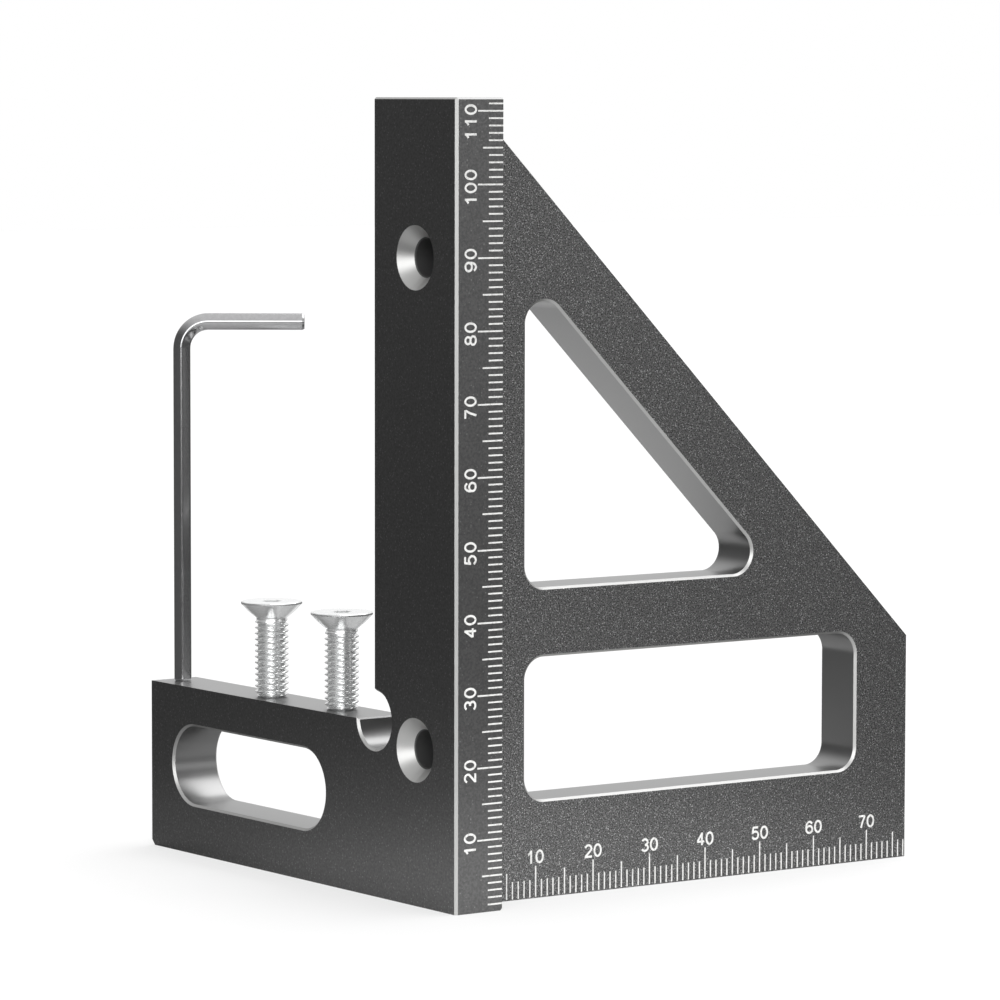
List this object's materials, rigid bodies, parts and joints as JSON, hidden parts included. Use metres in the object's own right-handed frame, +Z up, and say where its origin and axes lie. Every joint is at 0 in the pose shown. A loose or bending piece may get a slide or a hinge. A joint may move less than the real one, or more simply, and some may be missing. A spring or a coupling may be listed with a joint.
{
  "type": "two-plate set square ruler",
  "caption": "Flat L-shaped plate with a windowed 45 degree triangle plate square to it, edge scales, two loose countersunk screws and a hex key.",
  "frame": {"origin": "on the foot's underside, in the middle of the L-shaped plate's thickness and on the middle plane of the triangle plate", "axes": "+X along the triangle plate's horizontal scale, +Y along the foot of the L-shaped plate, +Z up along its vertical scale"},
  "size_m": [0.0856, 0.0795, 0.1118],
  "materials": {
    "l_plate_anodised": "fine-blasted, dark grey anodised, bright-cut bevels",
    "triangle_plate_anodised": "bead-blasted, dark grey anodised, bright-cut windows",
    "screw_zinc": "bright zinc plated",
    "key_steel": "blackened, lightly oiled"
  },
  "bodies": {
    "l_body": {"l_plate": "l_plate_anodised"},
    "triangle_body": {"triangle_plate": "triangle_plate_anodised"},
    "upper_screw_body": {"upper_screw": "screw_zinc"},
    "lower_screw_body": {"lower_screw": "screw_zinc"},
    "key_body": {"hex_key": "key_steel"}
  },
  "joints": [
    {"name": "triangle_draw_off", "type": "slide", "parent": "l_body", "child": "triangle_body", "axis": [1, 0, 0], "range_m": [0, 0.03]},
    {"name": "upper_screw_lift", "type": "slide", "parent": "l_body", "child": "upper_screw_body", "axis": [0, 0, 1], "range_m": [0, 0.037]},
    {"name": "lower_screw_lift", "type": "slide", "parent": "l_body", "child": "lower_screw_body", "axis": [0, 0, 1], "range_m": [0, 0.015]},
    {"name": "key_lift", "type": "slide", "parent": "l_body", "child": "key_body", "axis": [0, 0, 1], "range_m": [0, 0.03]}
  ]
}
